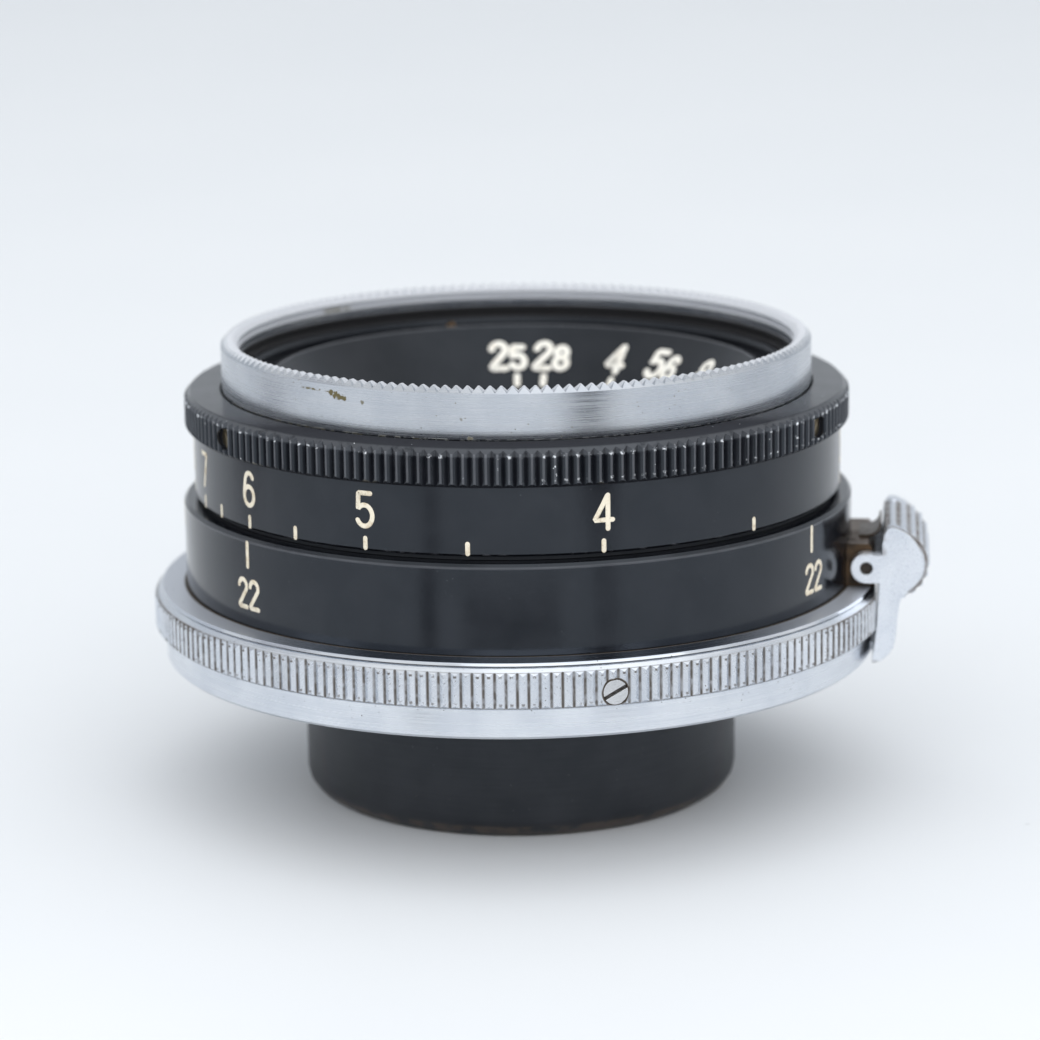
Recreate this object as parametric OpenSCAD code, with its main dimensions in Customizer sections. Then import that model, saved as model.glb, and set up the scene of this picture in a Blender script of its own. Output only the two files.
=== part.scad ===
// Wide-angle rangefinder lens with an external bayonet mount, built as separate pieces.
// Millimetres. The origin is the centre of the mount ring's rear face, on the optical axis.
// +Z points towards the front of the lens. The bayonet latch sits beside the +X axis.
// At rest the lens is focused at infinity, the iris is fully open and the latch is closed.

/* [Front rim] */
// Outer radius of the bright front rim
rim_r = 22.5; // [22.4:0.02:22.56]
// Height of the rim's notched top edge above the mount face
rim_top = 24.41; // [24.41:0.05:24.8]
// Crest radius of the filter thread
thread_r = 21.16; // [21.1:0.02:21.25]
// Number of notches cut across the top edge
rim_notches = 169; // [120:1:200]

/* [Focus ring] */
// Outer radius of the knurled grip ring
grip_r = 25.37; // [25.2:0.05:25.8]
// Number of teeth on the grip ring
grip_teeth = 196; // [120:4:220]
// Outer radius of the distance ring
focus_r = 24.73; // [24.6:0.05:24.9]
// Angle of the focus throw from infinity to the nearest mark
focus_throw = 261.7; // [180:1:280]

/* [Mount] */
// Outer radius of the black depth-of-field ring
dof_r = 25.6; // [25.5:0.02:25.62]
// Crest radius of the mount ring's knurled band
mount_r = 28.1; // [28.05:0.05:28.6]
// Radius of the mount ring's smooth lower band
mount_low_r = 27.3; // [27.2:0.05:27.6]
// Number of teeth on the mount ring
mount_teeth = 219; // [140:1:250]
// Radius inside the three bayonet lugs
lug_r = 23.2; // [22.8:0.1:23.8]

/* [Rear barrel] */
// Outer radius of the rear barrel
shroud_r = 16.67; // [16.4:0.05:16.9]
// How far the rear barrel reaches behind the mount face
shroud_depth = 10.94; // [10:0.1:12]

/* [Iris] */
// Radius of the full opening left by the blades
open_r = 6.3; // [5.8:0.1:6.6]
// Turn of the aperture ring from full opening to smallest
iris_throw = 117; // [90:1:118]

/* [Latch] */
// Width of the latch lever
latch_w = 11; // [10.8:0.2:12]
// Radius of the thumb grip
latch_grip_r = 2.8; // [2.6:0.05:2.85]

/* [Hidden] */
gap = 0.02;
blades = 10;
blade_t = 0.08;
blade_pitch = 0.1;
blade_z = 8.1;
pivot_at = 12.84;
pin_arm = 5.92;
iris_ratio = 0.2;
blade_turn = iris_throw * iris_ratio;
pin_start = 90 - blade_turn / 2;
cam_z0 = 9.15;
cam_z1 = 9.95;
drive_a = 30;
drive_z = 16.4;
latch_a = -5.6;
latch_x = 26.8;
latch_z = 7.35;
latch_y = latch_w / 2;
grip_x = 28.2;
grip_z = 7.8;
ear_in = latch_y - 1.1;
bracket_screw_z = 6.3;
screw_z = 3.37;
base_a = [-76.1, 43.9, 163.9];
grip_screw_a = [-148.35, -28.35, 91.65];
grip_screw_z = 19.1;
plate_screw_a = [25, 115, 205, 295];
plate_screw_r = 23.98;
rear_screw_a = [45, 135, 225, 315];
rear_screw_r = 25.55;
sleeve_screw_a = [60, 180, 300];
sleeve_screw_r = 21.8;
rim_bore = 20.9;
rim_hidden_r = 22.2;
thread_pitch = 0.71;
guide_a = [0, 120, 240];
guide_z = 18.65;
rim_screw_a = [105, 225, 345];
rim_screw_z = 21.35;
key_a = [90, 270];
bayonet_a = [60, 180, 300];
stop_r = 22.2;

// ---- shared shapes ----

module turned(profile) rotate_extrude($fn = 120) polygon(profile);

module arc_band(r0, r1, z0, z1, a0, a1) rotate([0, 0, a0])
    rotate_extrude(angle = a1 - a0, $fn = 120)
        polygon([[r0, z0], [r1, z0], [r1, z1], [r0, z1]]);

module rod(r, h) cylinder(r = r, h = h, $fn = 48);

// Points the children's +Z outwards along a radius
module radial(a, r, z) rotate([0, 0, a]) translate([r, 0, z]) rotate([0, 90, 0]) children();

module axial(a, r, z) rotate([0, 0, a]) translate([r, 0, z]) children();

// Draws the children in the XZ plane and gives them a thickness along Y
module side_slab(y0, y1) translate([0, y1, 0]) rotate([90, 0, 0]) linear_extrude(y1 - y0) children();

module knurl(r, depth, teeth, z0, z1) translate([0, 0, z0]) linear_extrude(z1 - z0)
    polygon([
        for (i = [0 : 2 * teeth - 1])
            let (a = 180 * i / teeth, q = i % 2 == 0 ? r : r - depth)
                [q * cos(a), q * sin(a)]
    ]);

// Slotted cylinder-head screw, top of the head at z = 0, shank going down
module slotted_screw(head_r, head_h, shank_r, length, slot_w, slot_d, tilt) difference() {
    union() {
        translate([0, 0, -head_h]) rod(head_r, head_h);
        translate([0, 0, -length]) rod(shank_r, length - head_h + 0.01);
    }
    rotate([0, 0, tilt]) translate([-head_r - 1, -slot_w / 2, -slot_d])
        cube([2 * head_r + 2, slot_w, slot_d + 1]);
}

// Slotted countersunk screw, flat top at z = 0
module flat_screw(head_r, head_h, shank_r, length, slot_w, tilt) difference() {
    rotate_extrude($fn = 48)
        polygon([
            [0, 0], [head_r, 0], [shank_r, -head_h], [shank_r, -length], [0, -length]
        ]);
    rotate([0, 0, tilt]) translate([-head_r - 1, -slot_w / 2, -0.6 * head_h])
        cube([2 * head_r + 2, slot_w, head_h]);
}

module flat_hole(head_r, head_h, shank_r, length) rotate_extrude($fn = 48)
    polygon([
        [0, 1], [head_r, 1], [head_r, 0], [shank_r, -head_h], [shank_r, -length], [0, -length]
    ]);

// ---- mount ----

module mount_ring() color([0.80, 0.81, 0.82]) difference() {
    intersection() {
        rotate([0, 0, 0.79]) knurl(mount_r, 0.27, mount_teeth, -1, 7);
        turned([
            [26.22, 0], [mount_low_r - 0.2, 0], [mount_low_r, 0.2], [mount_low_r, 2.3],
            [mount_r - 0.4, 2.3], [mount_r + 0.3, 2.91], [mount_r + 0.3, 4.56],
            [mount_r - 0.58, 5.38], [27.42, 5.4],
            [27.42, 5.46], [27.64, 5.48], [27.45, 5.65], [dof_r + gap, 5.65], [dof_r + gap, 2.2],
            [24.95, 2.2], [24.95, 1.4], [26.22, 1.4]
        ]);
    }
    for (a = base_a) radial(a, 27.26, screw_z) {
        rod(0.93, 2);
        translate([0, 0, -3]) rod(0.52, 4);
    }
    for (a = rear_screw_a) axial(a, rear_screw_r, 1.3) rod(0.34, 0.86);
    // flat for the latch, and a slot for its hook
    rotate([0, 0, latch_a]) {
        side_slab(-latch_y - 0.2, latch_y + 0.2)
            polygon([[27.55, 8], [27.5, 5], [27.44, 3.36], [27.3, 1.8], [27.08, -1], [31, -1], [31, 8]]);
        translate([26.6, -2.2, -1]) cube([2, 4.4, 1.9]);
    }
}

module bayonet_ring() color([0.70, 0.71, 0.72]) difference() {
    union() {
        turned([[24.6, 0], [26.1, 0], [26.2, 0.1], [26.2, 1.38], [24.6, 1.38]]);
        for (a = bayonet_a) arc_band(lug_r, 24.8, 0.1, 1.2, a - 22, a + 22);
    }
    for (a = rear_screw_a) axial(a, rear_screw_r, 0) mirror([0, 0, 1]) flat_hole(0.6, 0.3, 0.34, 3);
}

module bayonet_screws() color([0.75, 0.76, 0.77])
    for (a = rear_screw_a) axial(a, rear_screw_r, 0.02) mirror([0, 0, 1])
        flat_screw(0.57, 0.28, 0.32, 2.1, 0.18, a);

module bayonet_springs() color([0.72, 0.66, 0.45])
    for (a = bayonet_a) difference() {
        union() {
            arc_band(22.6, 24.2, 4.38, 4.58, a - 24, a + 24);
            arc_band(22.9, 23.9, 4.05, 4.4, a + 12, a + 17);
        }
        axial(a - 18, 23.4, 4) rod(0.32, 1);
    }

module spring_rivets() color([0.80, 0.76, 0.60])
    for (a = bayonet_a) axial(a - 18, 23.4, 4.16) {
        rod(0.5, 0.21);
        rod(0.3, 1.1);
    }

module dof_ring() color([0.06, 0.06, 0.07]) difference() {
    turned([
        [24.6, 2.2], [dof_r, 2.2], [dof_r, 12.07], [dof_r - 0.25, 12.32], [22.42, 12.32],
        [22.42, 8], [23.42, 8], [23.42, 5.52], [24.6, 5.52]
    ]);
    for (a = base_a) radial(a, 24, screw_z) rod(0.52, 3);
    for (a = plate_screw_a) axial(a, plate_screw_r, 5) rod(0.33, 2.4);
    rotate([0, 0, latch_a])
        for (y = [-2.6, 2.6]) translate([23.9, y, bracket_screw_z]) rotate([0, 90, 0]) rod(0.42, 3);
}

module base_screws() color([0.86, 0.87, 0.88])
    for (a = base_a) radial(a, 27.97, screw_z)
        slotted_screw(0.9, 0.7, 0.5, 3.2, 0.28, 0.3, 117);

module mount_plate() color([0.10, 0.10, 0.11]) difference() {
    turned([[17.3, 4.6], [24.56, 4.6], [24.56, 5.5], [17.3, 5.5]]);
    arc_band(stop_r - 0.5, stop_r + 0.5, 4.9, 6, -2 - focus_throw, 2);
    for (a = plate_screw_a) axial(a, plate_screw_r, 4.6) mirror([0, 0, 1]) flat_hole(0.56, 0.25, 0.34, 3);
    for (a = key_a) axial(a, 0, 0) translate([19.94, -1.21, 4]) cube([1.02, 2.42, 3]);
    for (a = bayonet_a) axial(a - 18, 23.4, 4) rod(0.32, 3);
}

module plate_screws() color([0.72, 0.66, 0.45])
    for (a = plate_screw_a) axial(a, plate_screw_r, 4.61) mirror([0, 0, 1])
        flat_screw(0.54, 0.24, 0.31, 2.6, 0.16, 20);

module guide_keys() color([0.70, 0.62, 0.38])
    for (a = key_a) axial(a, 0, 0) translate([19.95, -1.2, 4.62]) cube([1, 2.4, 6.4]);

// ---- latch ----

module latch_bracket() color([0.45, 0.38, 0.26]) rotate([0, 0, latch_a]) difference() {
    side_slab(-ear_in + 0.15, ear_in - 0.15)
        polygon([
            [24.5, 5.67], [27.45, 5.67], [27.45, 7.95], [27.2, 8.25], [27.2, 8.7], [26.95, 8.95],
            [24.5, 8.95]
        ]);
    translate([0, 0, 4]) cylinder(r = dof_r + gap, h = 6, $fn = 120);
    translate([latch_x, -8, latch_z]) rotate([-90, 0, 0]) rod(0.5, 16);
    for (y = [-2.6, 2.6])
        translate([27.45, y, bracket_screw_z]) rotate([0, 90, 0]) flat_hole(0.52, 0.24, 0.4, 4);
}

module bracket_screws() color([0.75, 0.72, 0.62]) rotate([0, 0, latch_a])
    for (y = [-2.6, 2.6]) translate([27.43, y, bracket_screw_z]) rotate([0, 90, 0])
        flat_screw(0.5, 0.24, 0.36, 3.1, 0.18, 80);

module latch_pin() color([0.62, 0.60, 0.55]) rotate([0, 0, latch_a])
    translate([latch_x, -latch_y + 0.25, latch_z]) rotate([-90, 0, 0]) rod(0.47, latch_w - 0.5);

module latch_spring() color([0.62, 0.50, 0.28]) rotate([0, 0, latch_a]) side_slab(-2, 2)
    polygon([
        [26.26, 8.97], [26.86, 8.97], [27.31, 9.07], [27.71, 9.35], [27.92, 9.8], [27.92, 10.1],
        [27.76, 10.1], [27.76, 9.85], [27.58, 9.48], [27.24, 9.24], [26.84, 9.15], [26.26, 9.15]
    ]);

module latch_lever() color([0.80, 0.81, 0.82]) rotate([0, 0, latch_a]) difference() {
    union() {
        // thumb grip: two smooth cheeks with a larger serrated roll between them
        intersection() {
            union() {
                for (y = [-latch_y, ear_in])
                    side_slab(y, y + 1.1) translate([grip_x, grip_z]) circle(r = latch_grip_r, $fn = 96);
                side_slab(-latch_y + 0.6, latch_y - 0.6) translate([grip_x + 0.58, grip_z - 0.2])
                    polygon([
                        for (i = [0 : 39])
                            let (a = 9 * i, q = latch_grip_r - (i % 2 == 0 ? 0 : 0.24))
                                [q * cos(a), q * sin(a)]
                    ]);
            }
            side_slab(-latch_y, latch_y)
                polygon([
                    [28, 5], [28, 9.3], [28.14, 10], [28.4, 10.45], [28.8, 10.62], [33, 10.62], [33, 4],
                    [29, 4]
                ]);
        }
        // tongue down the outside of the mount ring
        side_slab(-latch_y, latch_y)
            polygon([
                [28.4, 7], [27.77, 7], [27.77, 6.09], [27.7, 4.92], [27.64, 3.36], [27.5, 1.8],
                [27.29, 0.05], [27.52, 0.02], [28.04, 0.24], [28.49, 0.64], [28.86, 1.19], [29.08, 2.21],
                [29.14, 3.38], [29.28, 4.55], [29.42, 5.02], [29.9, 5.45], [29.5, 7]
            ]);
        // hook that holds the camera's bayonet
        side_slab(-2, 2) polygon([[28, 0.75], [26.75, 0.72], [26.75, 0.1], [28, 0.05], [28.3, 0.5]]);
        // two eyes on the pin
        for (y = [-latch_y, ear_in]) {
            side_slab(y, y + 1.1) translate([latch_x, latch_z]) circle(r = 1.15, $fn = 64);
            translate([latch_x, y, latch_z - 1.15]) cube([1.6, 1.1, 2.14]);
        }
    }
    translate([latch_x, -8, latch_z]) rotate([-90, 0, 0]) rod(0.49, 16);
    // relief behind the grip, clear of the bracket
    translate([20, -ear_in, 5.66]) cube([7.98, 2 * ear_in, 4.4]);
}

// ---- focus ring ----

module focus_ring() color([0.06, 0.06, 0.07]) difference() {
    turned([
        [22.37, 12.68], [focus_r - 0.18, 12.68], [focus_r, 12.86], [focus_r, 17.7], [23.98, 17.7],
        [23.98, 19.9], [22.9, 19.9], [22.9, 14.1], [21.2, 14.1], [21.2, 13.42], [22.37, 13.42]
    ]);
    for (a = grip_screw_a) radial(a, 22, grip_screw_z) rod(0.62, 3);
    for (a = sleeve_screw_a) axial(a, sleeve_screw_r, 14.1) flat_hole(0.5, 0.25, 0.32, 3);
}

module grip_ring() color([0.08, 0.08, 0.09]) difference() {
    intersection() {
        rotate([0, 0, 0.48]) knurl(grip_r, 0.3, grip_teeth, 17, 21);
        turned([
            [24, 17.72], [grip_r - 0.42, 17.72], [grip_r + 0.3, 18.34], [grip_r + 0.3, 19.85],
            [grip_r - 0.45, 20.6], [22.66, 20.6], [22.66, 19.92], [24, 19.92]
        ]);
    }
    for (a = grip_screw_a) radial(a, 22, grip_screw_z) rod(0.83, 5);
}

module grip_screws() color([0.70, 0.66, 0.52])
    for (a = grip_screw_a) radial(a, 24.9, grip_screw_z)
        slotted_screw(0.8, 0.85, 0.6, 1.9, 0.26, 0.3, a);

module focus_sleeve() color([0.74, 0.62, 0.36]) difference() {
    turned([
        [21.2, 5.58], [23.36, 5.58], [23.36, 7.95], [22.35, 7.95], [22.35, 13.4], [21.2, 13.4]
    ]);
    for (a = sleeve_screw_a) axial(a, sleeve_screw_r, 11.9) rod(0.3, 3);
    axial(0, stop_r, 5) rod(0.41, 2.05);
}

module sleeve_screws() color([0.72, 0.66, 0.45])
    for (a = sleeve_screw_a) axial(a, sleeve_screw_r, 14.08)
        flat_screw(0.48, 0.24, 0.28, 2.1, 0.16, 90);

module focus_washer() color([0.03, 0.03, 0.03]) turned([
        [22.5, 12.34], [24.2, 12.34], [24.2, 12.66], [22.5, 12.66]
    ]);

module focus_stop_pin() color([0.60, 0.60, 0.60]) axial(0, stop_r, 4.95) rod(0.4, 2);

// ---- optical unit ----

module helicoid_barrel() color([0.70, 0.58, 0.34]) difference() {
    turned([
        [16, 5.9], [21.15, 5.9], [21.15, 13], [rim_bore - 0.05, 13], [rim_bore - 0.05, 20],
        [19.3, 20], [19.3, 7.2],
        [16, 7.2]
    ]);
    for (a = key_a) axial(a, 0, 0) translate([19.86, -1.23, 5]) cube([2, 2.46, 7.6]);
    arc_band(19, 21.5, drive_z - 0.64, drive_z + 0.64, drive_a - 2.4, drive_a + iris_throw + 2.4);
    turned([[20.3, guide_z - 0.42], [21.5, guide_z - 0.42], [21.5, guide_z + 0.42], [20.3, guide_z + 0.42]]);
}

module lens_block() color([0.09, 0.09, 0.10]) difference() {
    turned([
        [13, 0.5], [15.95, 0.5], [15.95, 7.3], [18, 7.3], [18, 17.3], [16.2, 17.3], [16.2, 7.58],
        [13, 7.58]
    ]);
    arc_band(15.5, 18.5, cam_z0 - 0.06, cam_z1 + 0.1, drive_a - 4.5, drive_a + iris_throw + 4.5);
}

module focus_shim() color([0.80, 0.72, 0.45]) turned([
        [16.1, 7.21], [17.9, 7.21], [17.9, 7.29], [16.1, 7.29]
    ]);

module block_ring() color([0.70, 0.58, 0.34]) difference() {
    turned([[15.97, 4.94], [17, 4.94], [17, 5.88], [15.97, 5.88]]);
    for (a = [0, 180]) axial(a, 0, 0) translate([15, -0.6, 4.5]) cube([3, 1.2, 0.9]);
}

module front_cell() color([0.07, 0.07, 0.08]) turned([
        [7.25, 9.45], [9, 9.45], [9, 10.72], [16.15, 10.72], [16.15, 17.32], [17.6, 17.32],
        [17.6, 17.7], [15.6, 17.7], [14.05, 16.15], [13.9, 16.15], [13.9, 15], [10.5, 15],
        [10.5, 14.98], [10.05, 14.98], [10.05, 13.5], [9, 13.5], [9, 13.2], [6.9, 13.2],
        [6.9, 12.88], [7.25, 12.88]
    ]);

module nameplate_ring() color([0.05, 0.05, 0.06]) turned([
        [10.5, 15.02], [13.86, 15.02], [13.86, 16.9], [13.76, 16.98], [10.6, 15.98], [10.5, 15.9]
    ]);

module front_retainer() color([0.06, 0.06, 0.07]) difference() {
    turned([[9.25, 15], [10.48, 15], [10.48, 15.9], [10.3, 16], [9.6, 15.75], [9.25, 15.3]]);
    for (a = [45, 225]) axial(a, 0, 0) translate([9, -0.4, 15.55]) cube([1.1, 0.8, 1]);
}

// One optical surface of a glass element: a sphere centred on the axis
module dome(centre, size) translate([0, 0, centre]) sphere(r = size, $fn = 160);

module element_1() color([0.75, 0.82, 0.88, 0.5]) difference() {
    intersection() {
        translate([0, 0, 13]) cylinder(r = 10, h = 5, $fn = 120);
        dome(17 - 22, 22);
    }
    dome(14.4 - 60, 60);
}

module element_2() color([0.75, 0.82, 0.88, 0.5]) difference() {
    intersection() {
        translate([0, 0, 11]) cylinder(r = 7.2, h = 4, $fn = 120);
        dome(14.2 - 18, 18);
    }
    dome(12.9 - 40, 40);
}

module element_3() color([0.75, 0.82, 0.88, 0.5]) difference() {
    intersection() {
        translate([0, 0, 9.87]) cylinder(r = 7.2, h = 4, $fn = 120);
        dome(12.89 - 40, 40);
    }
    dome(12 - 9.5, 9.5);
}

module doublet_retainer() color([0.06, 0.06, 0.07]) turned([
        [6.2, 9.5], [7.23, 9.5], [7.23, 9.85], [6.2, 9.85]
    ]);

module iris_plate() color([0.16, 0.16, 0.17]) difference() {
    turned([[7.4, 7.6], [16.18, 7.6], [16.18, 8.05], [7.4, 8.05]]);
    for (i = [0 : blades - 1]) axial(36 * i, pivot_at, 7) rod(0.24, 2);
}

module iris_retainer() color([0.12, 0.12, 0.13]) difference() {
    turned([[11.5, 10.05], [16.18, 10.05], [16.18, 10.6], [11.5, 10.6]]);
    for (a = [0, 180]) axial(a, 14.5, 9) rod(0.5, 3);
}

module element_4() color([0.75, 0.82, 0.88, 0.5]) difference() {
    translate([0, 0, 3.01]) cylinder(r = 7.6, h = 4.17, $fn = 120);
    dome(5.2 + 9.5, 9.5);
}

module element_5() color([0.75, 0.82, 0.88, 0.5]) intersection() {
    translate([0, 0, -2]) cylinder(r = 7.6, h = 5, $fn = 120);
    dome(-1 + 16, 16);
}

module rear_doublet_ring() color([0.06, 0.06, 0.07]) turned([
        [6.2, 7.2], [7.62, 7.2], [7.62, 7.45], [6.2, 7.45]
    ]);

module rear_cell() color([0.08, 0.08, 0.09]) turned([
        [7.65, 0.55], [7.65, 7.45], [12.95, 7.45], [12.95, 0.48], [14.6, 0.48], [14.6, -0.6],
        [12, -0.6], [11, -3], [11, -8.4], [9.25, -8.4], [9.25, -4.76], [8.6, -4.76], [8.6, -4.3],
        [7.1, 0.3], [7, 0.55]
    ]);

module element_6() color([0.75, 0.82, 0.88, 0.5]) intersection() {
    translate([0, 0, -9]) cylinder(r = 9.2, h = 5, $fn = 120);
    dome(-4.2 - 60, 60);
    dome(-7.4 + 28, 28);
}

module rear_retainer() color([0.06, 0.06, 0.07]) difference() {
    turned([[8.6, -6.1], [9.22, -6.1], [9.22, -7.6], [8.9, -7.6], [8.6, -7.2]]);
    for (a = [0, 180]) axial(a, 0, 0) translate([8, -0.5, -8]) cube([2, 1, 0.9]);
}

module rear_shroud() color([0.10, 0.10, 0.11]) turned([
        [12.6, -shroud_depth], [shroud_r - 1.22, -shroud_depth],
        [shroud_r - 0.55, 0.42 - shroud_depth], [shroud_r - 0.12, 1.02 - shroud_depth],
        [shroud_r, 1.6 - shroud_depth], [shroud_r, 4.2], [15.98, 4.2], [15.98, -9.3], [12.6, -9.9]
    ]);

// ---- aperture ring ----

module notch() rotate([90, 0, 90]) translate([0, 0, 20.5]) linear_extrude(3)
    polygon([[0, rim_top - 0.41], [0.42, rim_top + 0.09], [-0.42, rim_top + 0.09]]);

module front_rim() color([0.80, 0.81, 0.82]) difference() {
    turned([
        [rim_bore, 15.2], [rim_hidden_r, 15.2], [rim_hidden_r, 20.66], [rim_r, 20.66],
        [rim_r, rim_top - 0.45], [rim_r - 0.45, rim_top],
        [21.62, rim_top], [thread_r, rim_top - 0.46],
        for (g = [rim_top - 0.78 : -thread_pitch : rim_top - 2.3])
            each [
                [thread_r, g + 0.235], [thread_r + 0.34, g + 0.04], [thread_r + 0.34, g - 0.04],
                [thread_r, g - 0.235]
            ],
        [thread_r, rim_top - 2.49], [rim_bore, 21.88]
    ]);
    for (i = [0 : rim_notches - 1]) rotate([0, 0, 360 * i / rim_notches - 0.15]) notch();
    for (a = guide_a) radial(a, 20, guide_z) {
        rod(0.4, 4);
        translate([0, 0, 1.7]) rod(0.72, 3);
    }
    for (a = rim_screw_a) radial(a, 20, rim_screw_z) rod(0.36, 1.92);
    radial(drive_a, 20, drive_z) {
        rod(0.62, 4);
        translate([0, 0, 1.6]) rod(0.97, 3);
    }
}

module fscale_ring() color([0.05, 0.05, 0.06]) difference() {
    turned([
        [rim_bore - gap, 20.1], [rim_bore - gap, 21.84], [20.6, 21.84], [20.4, 21.5], [20.4, 20.95], [19, 20.95],
        [18.9, 21.3], [18.75, 21.5], [18.5, 21.6], [14.05, 17.15], [14.0, 16.3], [17.8, 20.1]
    ]);
    for (a = rim_screw_a) radial(a, 20, rim_screw_z) rod(0.36, 3);
}

module rim_screws() color([0.60, 0.45, 0.28])
    for (a = rim_screw_a) radial(a, 20.42, rim_screw_z) difference() {
        rod(0.34, 1.46);
        translate([-1, -0.07, -0.5]) cube([2, 0.14, 0.7]);
    }

module guide_screws() color([0.70, 0.66, 0.52])
    for (a = guide_a) radial(a, rim_hidden_r - 0.1, guide_z)
        slotted_screw(0.7, 0.38, 0.38, 1.7, 0.16, 0.2, 0);

module drive_screw() color([0.70, 0.66, 0.52])
    radial(drive_a, rim_hidden_r - 0.1, drive_z)
        slotted_screw(0.95, 0.48, 0.6, 3.85, 0.2, 0.25, 90);

// Where the cam pin of the first blade lies, in the cam ring's own frame, at turn t
function pin_a(t) = pin_start + iris_ratio * t;
function pin_x(t) = pivot_at + pin_arm * cos(pin_a(t));
function pin_y(t) = pin_arm * sin(pin_a(t));
function pin_r(t) = norm([pin_x(t), pin_y(t)]);
function pin_phi(t) = atan2(pin_y(t), pin_x(t)) - t;
slot_steps = 40;
slot_half = 0.2;
function slot_t(i) = -1.2 + (iris_throw + 2.4) * i / slot_steps;
function slot_point(i, side) =
    let (t = slot_t(i), q = pin_r(t) + side * slot_half, a = pin_phi(t)) [q * cos(a), q * sin(a)];

module cam_slot() linear_extrude(3) polygon([
        for (i = [0 : slot_steps]) slot_point(i, 1),
        for (i = [slot_steps : -1 : 0]) slot_point(i, -1)
    ]);

module iris_cam() color([0.55, 0.50, 0.38]) difference() {
    union() {
        turned([[12, cam_z0], [16.12, cam_z0], [16.12, cam_z1], [12, cam_z1]]);
        arc_band(16, 19.15, cam_z0, cam_z1, drive_a - 3, drive_a + 3);
        arc_band(18.25, 19.15, cam_z0, drive_z + 0.9, drive_a - 3, drive_a + 3);
    }
    for (i = [0 : blades - 1]) rotate([0, 0, 36 * i]) translate([0, 0, cam_z0 - 1]) cam_slot();
    radial(drive_a, 17.5, drive_z) rod(0.61, 3);
}

// ---- iris blades ----

blade_span = 104;
blade_out = 12.2;

module blade(i) color([0.20, 0.20, 0.22]) rotate([0, 0, 36 * i]) {
    z0 = blade_z + blade_pitch * i;
    qx = pin_x(0);
    qy = pin_y(0);
    union() {
        arc_band(open_r, blade_out, z0, z0 + blade_t, -2, blade_span);
        translate([pivot_at - 1.1, -0.5, z0]) cube([1.1, 1, blade_t]);
        translate([pivot_at, 0, z0]) rod(0.5, blade_t);
        translate([pivot_at, 0, z0]) rotate([0, 0, pin_start]) translate([0, -0.4, 0])
            cube([pin_arm, 0.8, blade_t]);
        translate([qx, qy, z0]) rod(0.4, blade_t);
        translate([pivot_at, 0, 7.65]) rod(0.2, z0 + blade_t - 7.65);
        translate([qx, qy, z0]) rod(0.17, cam_z1 - 0.05 - z0);
    }
}

mount_ring();
bayonet_ring();
bayonet_screws();
bayonet_springs();
spring_rivets();
dof_ring();
base_screws();
mount_plate();
plate_screws();
guide_keys();
latch_bracket();
bracket_screws();
latch_pin();
latch_spring();
latch_lever();
focus_ring();
grip_ring();
grip_screws();
focus_sleeve();
sleeve_screws();
focus_washer();
focus_stop_pin();
helicoid_barrel();
lens_block();
focus_shim();
block_ring();
front_cell();
nameplate_ring();
front_retainer();
element_1();
element_2();
element_3();
doublet_retainer();
iris_plate();
iris_retainer();
element_4();
element_5();
rear_doublet_ring();
rear_cell();
element_6();
rear_retainer();
rear_shroud();
front_rim();
fscale_ring();
rim_screws();
guide_screws();
drive_screw();
iris_cam();
blade(0);  // blade_0
blade(1);  // blade_1
blade(2);  // blade_2
blade(3);  // blade_3
blade(4);  // blade_4
blade(5);  // blade_5
blade(6);  // blade_6
blade(7);  // blade_7
blade(8);  // blade_8
blade(9);  // blade_9
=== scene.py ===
"""Looks of a wide-angle rangefinder lens: finishes, engraved scales, stage, light and camera.

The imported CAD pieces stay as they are. Lengths in this script are millimetres of the lens's own
frame unless a name says otherwise: the origin is the centre of the mount ring's rear face, +Z
points out of the front, and the front of the picture is the -Y side.
"""

import math

import bpy
import numpy as np
from mathutils import Matrix, Vector


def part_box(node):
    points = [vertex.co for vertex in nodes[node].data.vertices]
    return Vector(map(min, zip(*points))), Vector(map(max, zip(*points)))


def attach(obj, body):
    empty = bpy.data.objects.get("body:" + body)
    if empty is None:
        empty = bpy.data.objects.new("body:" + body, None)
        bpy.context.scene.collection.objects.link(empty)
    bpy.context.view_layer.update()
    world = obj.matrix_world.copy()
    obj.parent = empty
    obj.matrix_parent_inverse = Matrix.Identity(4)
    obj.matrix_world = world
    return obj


MM = 0.001

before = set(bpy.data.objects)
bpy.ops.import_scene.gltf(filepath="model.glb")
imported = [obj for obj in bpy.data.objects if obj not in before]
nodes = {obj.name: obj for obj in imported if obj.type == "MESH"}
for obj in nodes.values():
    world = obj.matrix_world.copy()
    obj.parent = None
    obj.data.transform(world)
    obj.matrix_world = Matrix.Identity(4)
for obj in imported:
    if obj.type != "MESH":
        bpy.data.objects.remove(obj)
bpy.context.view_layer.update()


# ---------------------------------------------------------------- places read from the frame


def node_box(name):
    """Lowest and highest corner of a CAD node, in millimetres."""
    low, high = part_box(name)
    return low / MM, high / MM


def outer_radius(name):
    low, high = node_box(name)
    return (high.x - low.x) / 2


dof_r = outer_radius("dof_ring")
dof_top = node_box("dof_ring")[1].z
focus_r = outer_radius("focus_ring")
focus_low = node_box("focus_ring")[0].z
mount_r = node_box("mount_ring")[1].y
rim_r = outer_radius("front_rim")
rim_top = node_box("front_rim")[1].z
grip_low, grip_high = (corner.z for corner in node_box("grip_ring"))
grip_r = outer_radius("grip_ring")
shroud_low = node_box("rear_shroud")[0].z


# ---------------------------------------------------------------- node materials


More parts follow.
